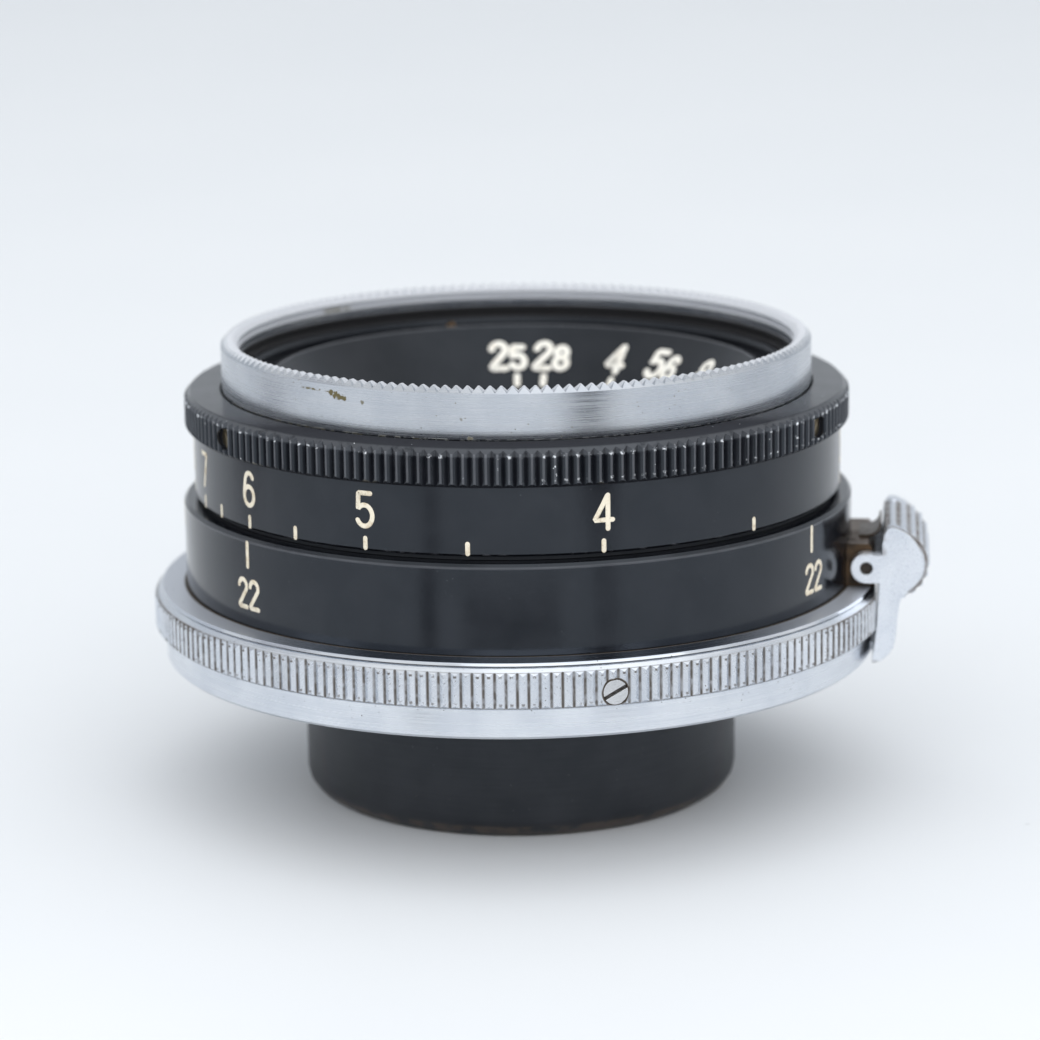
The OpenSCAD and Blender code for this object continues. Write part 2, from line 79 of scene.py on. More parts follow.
class Finish:
    """One procedural material. Sockets and numbers mix freely in its methods."""

    def __init__(self, name):
        self.material = bpy.data.materials.new(name)
        self.material.use_nodes = True
        self.tree = self.material.node_tree
        self.tree.nodes.clear()
        self.output = self.tree.nodes.new("ShaderNodeOutputMaterial")
        self.shader = self.tree.nodes.new("ShaderNodeBsdfPrincipled")
        self.tree.links.new(self.shader.outputs[0], self.output.inputs["Surface"])
        coordinates = self.tree.nodes.new("ShaderNodeTexCoord").outputs["Object"]
        self.point = self.vector("SCALE", coordinates, scale=1 / MM)
        split = self.tree.nodes.new("ShaderNodeSeparateXYZ")
        self.tree.links.new(self.point, split.inputs[0])
        self.x, self.y, self.z = split.outputs
        self.radius = self.math("SQRT", self.add(self.mul(self.x, self.x), self.mul(self.y, self.y)))

    def put(self, socket, value):
        if isinstance(value, bpy.types.NodeSocket):
            self.tree.links.new(value, socket)
        elif isinstance(value, (tuple, list)) and len(value) == 3 and socket.type == "RGBA":
            socket.default_value = (*value, 1)
        else:
            socket.default_value = value

    def math(self, operation, a, b=0.0, c=0.0):
        node = self.tree.nodes.new("ShaderNodeMath")
        node.operation = operation
        for socket, value in zip(node.inputs, (a, b, c)):
            self.put(socket, value)
        return node.outputs[0]

    def add(self, a, b):
        return self.math("ADD", a, b)

    def sub(self, a, b):
        return self.math("SUBTRACT", a, b)

    def mul(self, a, b):
        return self.math("MULTIPLY", a, b)

    def most(self, *values):
        total = values[0]
        for value in values[1:]:
            total = self.math("MAXIMUM", total, value)
        return total

    def vector(self, operation, a, b=None, scale=None):
        node = self.tree.nodes.new("ShaderNodeVectorMath")
        node.operation = operation
        self.put(node.inputs[0], a)
        if b is not None:
            self.put(node.inputs[1], b)
        if scale is not None:
            self.put(node.inputs["Scale"], scale)
        return node.outputs["Value"] if operation in ("LENGTH", "DISTANCE") else node.outputs[0]

    def combine(self, x, y, z):
        node = self.tree.nodes.new("ShaderNodeCombineXYZ")
        for socket, value in zip(node.inputs, (x, y, z)):
            self.put(socket, value)
        return node.outputs[0]

    def rise(self, value, low, high):
        """0 below low, 1 above high, smooth between. low above high turns it round."""
        node = self.tree.nodes.new("ShaderNodeMapRange")
        node.interpolation_type = "SMOOTHSTEP"
        flipped = low > high
        self.put(node.inputs["Value"], value)
        self.put(node.inputs["From Min"], min(low, high))
        self.put(node.inputs["From Max"], max(low, high))
        self.put(node.inputs["To Min"], 1.0 if flipped else 0.0)
        self.put(node.inputs["To Max"], 0.0 if flipped else 1.0)
        return node.outputs[0]

    def band(self, value, low, high, soft=0.1):
        return self.mul(
            self.rise(value, low - soft, low + soft),
            self.rise(value, high + soft, high - soft),
        )

    def noise(self, scale, detail=3.0, rough=0.55, at=None, offset=0.0):
        """Cloudy noise, `scale` features per millimetre."""
        node = self.tree.nodes.new("ShaderNodeTexNoise")
        point = self.point if at is None else at
        if offset:
            point = self.vector("ADD", point, (offset, 2.3 * offset, 0.7 * offset))
        self.put(node.inputs["Vector"], point)
        self.put(node.inputs["Scale"], scale)
        self.put(node.inputs["Detail"], detail)
        self.put(node.inputs["Roughness"], rough)
        return node.outputs["Fac"]

    def specks(self, scale, size, offset=0.0):
        """1 inside small round spots, `scale` cells per millimetre, `size` of a cell wide."""
        node = self.tree.nodes.new("ShaderNodeTexVoronoi")
        point = self.vector("ADD", self.point, (offset, offset, offset))
        self.put(node.inputs["Vector"], point)
        self.put(node.inputs["Scale"], scale)
        return self.rise(node.outputs["Distance"], size, 0.6 * size)

    def turned(self, lines, spread=1.5):
        """Lathe lines: fine across the cut, drawn out along it. `lines` per millimetre."""
        around = self.math("DIVIDE", spread, self.most(self.radius, 0.5))
        across = self.mul(self.add(self.z, self.mul(self.radius, 1.37)), lines)
        point = self.combine(self.mul(self.x, around), self.mul(self.y, around), across)
        return self.noise(1.0, detail=4.0, rough=0.7, at=point)

    def mix(self, share, a, b):
        node = self.tree.nodes.new("ShaderNodeMix")
        node.data_type = "RGBA"
        self.put(node.inputs[0], share)
        self.put(node.inputs[6], a)
        self.put(node.inputs[7], b)
        return node.outputs[2]

    def blend(self, share, a, b):
        """a where share is 0, b where it is 1, for plain numbers."""
        return self.add(self.mul(share, b), self.mul(self.sub(1.0, share), a))

    def bump(self, height, depth, under=None):
        """Relief of `depth` millimetres."""
        node = self.tree.nodes.new("ShaderNodeBump")
        self.put(node.inputs["Height"], height)
        self.put(node.inputs["Distance"], depth * MM)
        if under is not None:
            self.put(node.inputs["Normal"], under)
        return node.outputs[0]

    def soft_edge(self, width):
        """Normals rounded over `width` millimetres at each edge."""
        node = self.tree.nodes.new("ShaderNodeBevel")
        node.samples = 4
        self.put(node.inputs["Radius"], width * MM)
        return node.outputs[0]

    def lathe_tangent(self):
        node = self.tree.nodes.new("ShaderNodeTangent")
        node.direction_type = "RADIAL"
        node.axis = "Z"
        return node.outputs[0]

    def spot(self, angle, radius, height, size):
        """1 near one place on a turned surface; its outline is ragged."""
        centre = around(angle, radius, height)
        ragged = self.mul(self.sub(self.noise(4.5, offset=7.0), 0.5), 2.6 * size)
        distance = self.vector("DISTANCE", self.point, tuple(centre))
        return self.rise(self.add(distance, ragged), size, 0.7 * size)

    def set(self, **values):
        for name, value in values.items():
            self.put(self.shader.inputs[name.replace("_", " ")], value)
        return self


def around(angle, radius, height):
    """The point at `angle` degrees round the axis: 0 faces the viewer, 90 is on the latch side."""
    a = math.radians(angle)
    return Vector((radius * math.sin(a), -radius * math.cos(a), height))


# Radii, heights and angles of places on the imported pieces, in millimetres and degrees.
KNURL_FOOT = 2.4
KNURL_HEAD = 5.05
MOUNT_JOINT = (5.395, 5.47)
MOUNT_BEVEL = (5.455, 5.615)
MOUNT_TOP = 5.62
MOUNT_BEVEL_R = 27.62
BASE_SCREW_ANGLES = (13.9, 133.9, 253.9)
BASE_SCREW_Z = 3.37
RIM_THREAD_R = 22.0
RIM_BORE_R = 21.62
FSCALE_LIP = (21.50, 21.66)
FSCALE_LIP_R = 18.85
LATCH_ROLL_OUT = 28.78
LATCH_ROLL_Z = 7.6
LATCH_TURN = math.radians(-5.6)

# Where the dirt in each screw's slot ends: a radius, a height or a distance along the latch.
BASE_SLOT_R = 27.90
GRIP_SLOT_R = 24.84
GUIDE_SLOT_R = 22.04
BAYONET_SLOT_Z = 0.06
PLATE_SLOT_Z = 4.64
SLEEVE_SLOT_Z = 14.02
BRACKET_SLOT_OUT = 27.36

BROWN = (0.085, 0.055, 0.032)
OLIVE = (0.125, 0.105, 0.045)
BRIGHT = (0.80, 0.82, 0.85)
COOL = (0.80, 0.89, 1.0)


def chrome(
    name,
    light=0.80,
    rough=0.24,
    lines=9.0,
    soil=None,
    mirror=None,
    dim=None,
    frost=None,
    paint=None,
    stain=BROWN,
    pits=0.13,
    edge=0.0,
    lathe=True,
):
    """Satin nickel-chrome plate with lathe lines and pits.

    soil, mirror, dim, frost and paint are functions of the finish. Each says where the plate is
    soiled or darkened with painted shade, polished, greyer, matt or painted black.
    """
    f = Finish(name)
    cut = f.turned(lines) if lathe else f.noise(lines)
    cloud = f.noise(0.25)
    shade = f.add(f.mul(cut, 0.5), f.mul(cloud, 0.5))
    plate = f.mix(
        f.rise(shade, 0.36, 0.64),
        tuple(light * c for c in (0.82, 0.87, 0.95)),
        tuple(light * c for c in (0.99, 1.03, 1.09)),
    )
    pitted = f.mul(f.specks(2.4, pits), f.rise(f.noise(0.4, offset=3.0), 0.5, 0.62))
    # dirt carries both real dirt and the painted shade and shadow lines that soil gives; all take the stain
    # colour.
    dirt = pitted if soil is None else f.most(pitted, soil(f))
    roughness = f.blend(f.rise(cut, 0.3, 0.7), rough - 0.06, rough + 0.09)
    if mirror is not None:
        polished = mirror(f)
        roughness = f.blend(polished, roughness, 0.075)
    if dim is not None:
        plate = f.mix(dim(f), plate, (0.50, 0.55, 0.64))
    solid = 1.0
    if frost is not None:
        frosted = frost(f)
        plate = f.mix(frosted, plate, (0.58, 0.60, 0.64))
        solid = f.sub(1.0, f.mul(frosted, 0.85))
        roughness = f.blend(frosted, roughness, 0.5)
    normal = f.soft_edge(edge) if edge else None
    relief = f.bump(f.sub(cut, f.mul(pitted, 2.0)), 0.003 if lathe else 0.0006, under=normal)
    colour = f.mix(dirt, plate, stain)
    if paint is not None:
        painted = paint(f)
        colour = f.mix(painted, colour, (0.008, 0.008, 0.010))
        dirt = f.most(dirt, painted)
    f.set(
        Base_Color=colour,
        Metallic=f.mul(f.sub(1.0, dirt), solid),
        Roughness=f.blend(dirt, roughness, 0.75),
        Normal=relief,
    )
    if lathe:
        f.set(Anisotropic=f.mul(f.sub(1.0, dirt), 0.55), Tangent=f.lathe_tangent())
    return f.material


def mount_soil(f):
    """Dark lines down the knurl's grooves, dirt with painted shade that widens towards both sides; brown
    tips on its crests; the joint under the top face; and a painted shadow line where the depth-of-field
    ring meets the top face.
    """
    teeth = f.band(f.z, KNURL_FOOT, KNURL_HEAD, 0.05)
    patchy = f.rise(f.noise(0.5, detail=4.0), 0.42, 0.62)
    # steep widens the dark groove lines towards both sides: painted shade on flanks seen at a grazing
    # angle.
    steep = f.rise(f.math("ABSOLUTE", f.x), 20.0, 25.0)
    groove_dirt_and_shade = f.mul(f.rise(f.sub(f.radius, f.mul(steep, 0.09)), mount_r - 0.16, mount_r - 0.24), teeth)
    streak = f.rise(f.noise(1.6, detail=3.0, offset=4.0), 0.36, 0.6)
    crest = f.rise(f.radius, mount_r - 0.11, mount_r - 0.05)
    tips = f.most(f.band(f.z, 4.68, 4.84, 0.04), f.mul(f.band(f.z, 2.66, 2.84, 0.03), 0.8))
    brown = f.rise(f.noise(1.3, detail=2.0, offset=2.0), 0.44, 0.56)
    pits = f.mul(f.specks(4.5, 0.24, offset=5.0), f.rise(f.noise(0.8, offset=6.0), 0.46, 0.56))
    under_bevel = f.rise(f.radius, MOUNT_BEVEL_R + 0.04, MOUNT_BEVEL_R - 0.04)
    joint = f.mul(f.band(f.z, *MOUNT_JOINT, 0.02), under_bevel)
    # Painted shadow: a dark line on the top face where the depth-of-field ring stands on it.
    inner = f.mul(f.rise(f.radius, dof_r + 0.26, dof_r + 0.16), f.rise(f.z, 5.5, 5.6))
    return f.most(
        f.mul(groove_dirt_and_shade, f.add(f.mul(f.most(patchy, streak), 0.4), 0.52)),
        f.mul(f.mul(crest, tips), f.mul(brown, 0.85)),
        f.mul(f.mul(crest, pits), f.mul(teeth, 0.7)),
        f.mul(joint, 0.85),
        inner,
        screw_surround(f),
    )


def screw_surround(f):
    """Dirt in the narrow gap round each screw head in the knurled band."""
    rings = []
    for angle in BASE_SCREW_ANGLES:
        distance = f.vector("DISTANCE", f.point, tuple(around(angle, mount_r - 0.1, BASE_SCREW_Z)))
        rings.append(f.rise(distance, 1.10, 1.0))
    return f.most(*rings)


def mount_mirror(f):
    """The bevel below the top face is polished."""
    return f.band(f.z, *MOUNT_BEVEL, 0.015)


def mount_top(f):
    """The flat top face is greyer than the bevels round it."""
    return f.rise(f.z, MOUNT_TOP, MOUNT_TOP + 0.02)


def mount_frost(f):
    """The top face is duller at both sides than in front."""
    return f.mul(mount_top(f), f.mul(f.rise(f.math("ABSOLUTE", f.x), 12.0, 24.0), 0.6))


def rim_soil(f):
    """Stains on the rim's wall, and patchy grime with a painted contact shadow where it leaves the grip
    ring.
    """
    left = f.rise(f.x, -3.0, -7.0)
    # Patchy grime and painted contact shadow along the rim's foot, stronger on the left.
    foot = f.mul(f.band(f.z, grip_high - 0.3, grip_high + 0.10, 0.05), f.rise(f.noise(1.7), 0.50, 0.58))
    line = f.mul(f.band(f.z, rim_top - 1.00, rim_top - 0.86, 0.03), f.band(f.x, -15.4, -13.4, 0.2))
    return f.most(
        f.spot(-36.2, rim_r, rim_top - 1.02, 0.22),
        f.spot(-35.2, rim_r, rim_top - 1.16, 0.30),
        f.spot(-34.2, rim_r, rim_top - 1.26, 0.27),
        f.spot(-33.2, rim_r, rim_top - 1.30, 0.20),
        f.mul(f.spot(-29.4, rim_r, rim_top - 1.45, 0.16), 0.8),
        f.mul(f.spot(-10.0, rim_r, rim_top - 2.3, 0.12), 0.5),
        f.mul(f.spot(-8.6, rim_r, grip_high + 0.10, 0.24), 0.8),
        f.mul(line, f.rise(f.noise(3.0), 0.44, 0.50)),
        f.mul(foot, f.add(f.mul(left, 0.6), 0.25)),
    )


def rim_frost(f):
    """The filter thread's own turns are matt."""
    inside = f.rise(f.radius, RIM_THREAD_R + 0.05, RIM_THREAD_R - 0.05)
    return f.mul(inside, f.rise(f.z, rim_top - 1.25, rim_top - 0.95))


def rim_paint(f):
    """The bore is blackened below the first turns of the filter thread."""
    inside = f.rise(f.radius, RIM_BORE_R + 0.04, RIM_BORE_R - 0.04)
    return f.mul(inside, f.rise(f.z, rim_top - 1.60, rim_top - 1.72))


def latch_out(f):
    """Distance from the lens axis along the latch's own direction."""
    return f.add(f.mul(f.x, math.cos(LATCH_TURN)), f.mul(f.y, math.sin(LATCH_TURN)))


def latch_soil(f):
    """Dirt in the serrations and in the corner by the bracket, and a painted shadow line in the joint
    beside the front cheek.
    """
    out = latch_out(f)
    along = f.sub(f.mul(f.y, math.cos(LATCH_TURN)), f.mul(f.x, math.sin(LATCH_TURN)))
    patchy = f.rise(f.noise(0.9, detail=4.0), 0.45, 0.62)
    across = f.sub(out, LATCH_ROLL_OUT)
    rise = f.sub(f.z, LATCH_ROLL_Z)
    from_roll = f.math("SQRT", f.add(f.mul(across, across), f.mul(rise, rise)))
    roll = f.mul(f.band(along, -5.30, 5.30, 0.05), f.rise(from_roll, 2.35, 2.45))
    serration = f.mul(roll, f.rise(from_roll, 2.72, 2.60))
    # Painted shadow line along the joint beside the front cheek.
    joint_shadow_line = f.mul(f.band(along, -5.44, -5.10, 0.04), f.rise(f.z, 8.2, 8.8))
    inner = f.mul(f.rise(out, 28.5, 28.0), f.band(f.z, 8.4, 10.3, 0.15))
    foot = f.mul(f.rise(f.z, 0.35, 0.05), 0.5)
    return f.most(
        f.mul(serration, f.add(f.mul(patchy, 0.25), 0.60)),
        joint_shadow_line,
        f.mul(f.mul(inner, patchy), 0.55),
        f.mul(foot, patchy),
    )


def gloss_black(name, chips=None, wear_and_highlight=None, dull=None, rough=0.17, gloss=0.5, edge=0.05):
    """Black enamel: a slight ripple, faint polishing lines, dust, and bare metal where it is chipped.

    chips says where it is chipped. wear says where it is worn grey, and where it is lightened as a painted
    highlight. dull says where it is matt and where grey.
    """
    f = Finish(name)
    cloud = f.noise(0.35, detail=5.0)
    fine = f.turned(14.0, spread=4.0)
    dust = f.mul(f.specks(1.7, 0.05, offset=1.0), f.rise(f.noise(0.6, offset=4.0), 0.45, 0.6))
    paint = f.mix(
        f.rise(cloud, 0.35, 0.65),
        (0.0045, 0.0052, 0.0075),
        (0.0085, 0.0092, 0.0120),
    )
    paint = f.mix(f.mul(dust, 0.55), paint, (0.30, 0.31, 0.33))
    roughness = f.add(f.mul(f.add(f.mul(cloud, 0.6), f.mul(fine, 0.4)), 0.16), rough - 0.08)
    metal = 0.0
    if dull is not None:
        matt, grey = dull(f)
        gloss = f.blend(matt, gloss, 0.0)
        paint = f.mix(grey, paint, (0.036, 0.038, 0.045))
    if wear_and_highlight is not None:
        # Grey where wear says: worn paint on some rings, a painted highlight on others.
        rubbed = wear_and_highlight(f)
        paint = f.mix(rubbed, paint, (0.16, 0.165, 0.18))
    if chips is not None:
        metal = chips(f)
        paint = f.mix(metal, paint, BRIGHT)
        roughness = f.blend(metal, roughness, 0.30)
    height = f.add(f.mul(f.noise(3.2, detail=2.0), 0.7), f.mul(fine, 0.3))
    if chips is not None:
        height = f.sub(height, f.mul(metal, 0.8))
    normal = f.bump(height, 0.0035, under=f.soft_edge(edge) if edge else None)
    f.set(
        Base_Color=paint,
        Metallic=metal,
        Roughness=roughness,
        Specular_IOR_Level=gloss,
        Specular_Tint=COOL,
        Normal=normal,
    )
    return f.material


def grip_chips(f):
    """Paint knocked off the crests of the knurl, mostly at their two ends."""
    crest = f.rise(f.radius, grip_r - 0.16, grip_r - 0.05)
    upper = f.band(f.z, grip_high - 0.70, grip_high - 0.50, 0.06)
    lower = f.mul(f.band(f.z, grip_low + 0.52, grip_low + 0.68, 0.05), f.rise(f.x, -2.0, 6.0))
    ends = f.most(upper, f.mul(lower, 0.7))
    right_side = f.rise(f.x, -4.0, 4.0)
    some = f.rise(f.add(f.noise(0.55, detail=2.0, offset=11.0), f.mul(right_side, 0.09)), 0.50, 0.57)
    knocks = f.rise(f.noise(3.3, detail=3.0, offset=2.0), 0.50, 0.56)
    broken = f.mul(f.rise(f.noise(1.5, offset=5.0), 0.66, 0.69), f.rise(f.noise(7.0), 0.5, 0.56))
    length = f.mul(crest, broken)
    top = f.mul(f.specks(0.9, 0.05, offset=3.0), f.rise(f.z, grip_high - 0.7, grip_high - 0.5))
    return f.most(f.mul(f.mul(ends, crest), f.mul(some, knocks)), f.mul(length, some), top)


def grip_wear(f):
    """A greyer strip along the upper bevel, and light lines along the knurl's crests and the top edge that
    are partly worn paint and partly a painted highlight.
    """
    bevel = f.band(f.z, grip_high - 0.62, grip_high - 0.05, 0.08)
    # Painted highlight along the crests and the top edge, partly worn paint.
    crest = f.mul(f.rise(f.radius, grip_r - 0.085, grip_r - 0.04), f.add(f.mul(f.noise(0.8), 0.35), 0.22))
    return f.add(f.mul(f.mul(bevel, f.rise(f.noise(1.2), 0.2, 0.5)), 0.26), crest)


def grip_dull(f):
    """The flat top face in front is matt and grey; the knurl's flanks are matt down in its grooves."""
    top = f.mul(f.rise(f.z, grip_high - 0.06, grip_high - 0.01), f.rise(f.y, -1.0, -17.0))
    flank = f.mul(
        f.rise(f.radius, grip_r - 0.12, grip_r - 0.26),
        f.rise(f.z, grip_high - 0.6, grip_high - 0.8),
    )
    matt = f.most(top, f.mul(flank, 0.9))
    return matt, f.mul(matt, f.rise(f.radius, grip_r - 0.3, grip_r - 0.5))


def dof_wear(f):
    """A soft grey line along the top edge: a painted highlight."""
    return f.mul(f.band(f.z, dof_top - 0.36, dof_top - 0.20, 0.05), f.add(f.mul(f.noise(0.6), 0.3), 0.15))


def focus_wear(f):
    """The focus ring's lower edge is rubbed in patches."""
    rub = f.rise(f.noise(1.1, detail=4.0, offset=6.0), 0.5, 0.68)
    low = f.band(f.z, focus_low + 0.06, focus_low + 0.2, 0.04)
    return f.mul(f.mul(low, rub), 0.4)


def fscale_wear(f):
    """The lip of the aperture scale's cone is painted grey as a highlight."""
    lip = f.mul(f.band(f.z, *FSCALE_LIP, 0.04), f.rise(f.radius, FSCALE_LIP_R, FSCALE_LIP_R - 0.07))
    return f.mul(lip, f.add(f.mul(f.noise(0.8), 0.4), 0.25))


def matte_black(name, tint=1.0, rough=0.5, brown_below=None):
    """Satin-black anodised or stoved finish with faint lathe lines and handling marks."""
    f = Finish(name)
    cut = f.turned(7.0, spread=3.0)
    cloud = f.noise(0.3, detail=5.0)
    coat = f.mix(
        f.rise(f.add(f.mul(cut, 0.4), f.mul(cloud, 0.6)), 0.36, 0.64),
        tuple(tint * c for c in (0.0105, 0.0110, 0.0130)),
        tuple(tint * c for c in (0.0190, 0.0195, 0.0225)),
    )
    dust = f.mul(f.specks(1.3, 0.06, offset=9.0), f.rise(f.noise(0.5, offset=1.0), 0.45, 0.6))
    coat = f.mix(f.mul(dust, 0.4), coat, (0.22, 0.22, 0.23))
    if brown_below is not None:
        edge = f.mul(f.rise(f.z, brown_below + 0.25, brown_below), f.rise(f.noise(0.7), 0.35, 0.6))
        coat = f.mix(f.mul(edge, 0.4), coat, (0.10, 0.070, 0.046))
    f.set(
        Base_Color=coat,
        Roughness=f.add(f.mul(cloud, 0.2), rough - 0.1),
        Specular_IOR_Level=0.42,
        Specular_Tint=COOL,
        Normal=f.bump(f.add(f.mul(cut, 0.6), f.mul(f.noise(9.0), 0.4)), 0.006, under=f.soft_edge(0.06)),
    )
    return f.material


def brass(name, bright, dull, rough=0.3, stain=0.5, lathe=True):
    """Copper alloy with turning marks and patches of tarnish."""
    f = Finish(name)
    cut = f.turned(8.0) if lathe else f.noise(6.0)
    tarnish = f.mul(f.rise(f.noise(0.5, detail=5.0), 0.42, 0.68), stain)
    f.set(
        Base_Color=f.mix(tarnish, f.mix(cut, tuple(0.8 * c for c in bright), bright), dull),
        Metallic=f.sub(1.0, f.mul(tarnish, 0.5)),
        Roughness=f.add(f.mul(cut, 0.12), f.add(rough - 0.06, f.mul(tarnish, 0.3))),
        Normal=f.bump(cut, 0.005, under=f.soft_edge(0.05)),
    )
    return f.material


def screw_metal(name, tint, slot_floor, rough=0.2):
    """Polished screw head; slot_floor(f) is 1 down in the slot and round the shank, where dirt sits."""
    f = Finish(name)
    grime = f.mul(slot_floor(f), f.add(f.mul(f.rise(f.noise(2.5), 0.3, 0.6), 0.14), 0.84))
    scratch = f.noise(9.0, detail=4.0)
    bare = f.mix(scratch, tuple(0.82 * c for c in tint), tint)
    f.set(
        Base_Color=f.mix(grime, bare, (0.028, 0.021, 0.017)),
        Metallic=f.sub(1.0, grime),
        Roughness=f.blend(grime, f.add(f.mul(scratch, 0.14), rough - 0.06), 0.8),
        Normal=f.bump(scratch, 0.004, under=f.soft_edge(0.05)),
    )
    return f.material


def blade_metal(name):
    """Blackened spring steel with rub marks and a trace of oil."""
    f = Finish(name)
    rub = f.turned(5.0, spread=6.0)
    oil = f.rise(f.noise(0.35, detail=2.0), 0.45, 0.6)
    f.set(
        Base_Color=f.mix(f.rise(rub, 0.4, 0.7), (0.030, 0.031, 0.036), (0.085, 0.086, 0.092)),
        Metallic=0.7,
        Roughness=f.sub(0.42, f.mul(oil, 0.22)),
        Normal=f.bump(rub, 0.003),
    )
    return f.material


def coated_glass(name, coat=(0.62, 0.55, 1.0)):
    """Lens glass with a purple-blue coating and a little dust."""
    f = Finish(name)
    dust = f.mul(f.specks(1.1, 0.05), f.rise(f.noise(0.4), 0.5, 0.6))
    haze = f.noise(0.5, detail=4.0)
    f.set(
        Base_Color=f.mix(dust, (0.985, 0.99, 1.0), (0.7, 0.7, 0.7)),
        Roughness=f.add(f.mul(dust, 0.5), f.mul(haze, 0.012)),
        IOR=1.62,
        Transmission_Weight=f.sub(1.0, dust),
        Specular_Tint=f.mix(haze, coat, (0.80, 0.70, 1.0)),
    )
    return f.material


def scale_paint(name, fresh, soiled, soil=0.5):
    """Enamel rubbed into the engraved figures; it has yellowed and holds brown specks."""
    f = Finish(name)
    patch = f.rise(f.noise(1.4, detail=5.0, rough=0.7), 0.46, 0.66)
    speck = f.mul(f.specks(5.5, 0.30), f.rise(f.noise(2.0, offset=3.0), 0.48, 0.62))
    colour = f.mix(f.mul(patch, soil), fresh, soiled)
    f.set(
        Base_Color=f.mix(f.mul(speck, 0.8 * soil), colour, (0.17, 0.105, 0.055)),
        Roughness=0.62,
        Specular_IOR_Level=0.3,
        Normal=f.bump(f.noise(7.0), 0.012),
    )
    return f.material


# ---------------------------------------------------------------- finishes of the CAD nodes


def smooth_modifier_group(limit):
    """Geometry nodes that join doubled vertices and shade smooth, except at edges over `limit` degrees."""
    group = bpy.data.node_groups.new("smooth_by_angle", "GeometryNodeTree")
    group.interface.new_socket("Geometry", in_out="INPUT", socket_type="NodeSocketGeometry")
    group.interface.new_socket("Geometry", in_out="OUTPUT", socket_type="NodeSocketGeometry")
    start = group.nodes.new("NodeGroupInput")
    end = group.nodes.new("NodeGroupOutput")
    join = group.nodes.new("GeometryNodeMergeByDistance")
    join.inputs["Distance"].default_value = 0.0005 * MM
    edge = group.nodes.new("GeometryNodeInputMeshEdgeAngle")
    below = group.nodes.new("FunctionNodeCompare")
    below.data_type = "FLOAT"
    below.operation = "LESS_EQUAL"
    below.inputs[1].default_value = math.radians(limit)
    edges = group.nodes.new("GeometryNodeSetShadeSmooth")
    edges.domain = "EDGE"
    faces = group.nodes.new("GeometryNodeSetShadeSmooth")
    faces.domain = "FACE"
    group.links.new(start.outputs[0], join.inputs["Geometry"])
    group.links.new(join.outputs[0], edges.inputs["Geometry"])
    group.links.new(edge.outputs["Unsigned Angle"], below.inputs[0])
    group.links.new(below.outputs[0], edges.inputs["Shade Smooth"])
    group.links.new(edges.outputs[0], faces.inputs["Geometry"])
    group.links.new(faces.outputs[0], end.inputs[0])
    return group


def dress(names, material):
    """Gives CAD nodes their finish and smooth shading. Their vertices stay as packed."""
    for name in names.split():
        piece = nodes[name]
        piece.data.materials.clear()
        piece.data.materials.append(material)
        normals = piece.data.attributes.get("custom_normal")
        if normals is not None:
            piece.data.attributes.remove(normals)
        for polygon in piece.data.polygons:
            polygon.material_index = 0
        modifier = piece.modifiers.new("smooth", "NODES")
        modifier.node_group = smooth_group


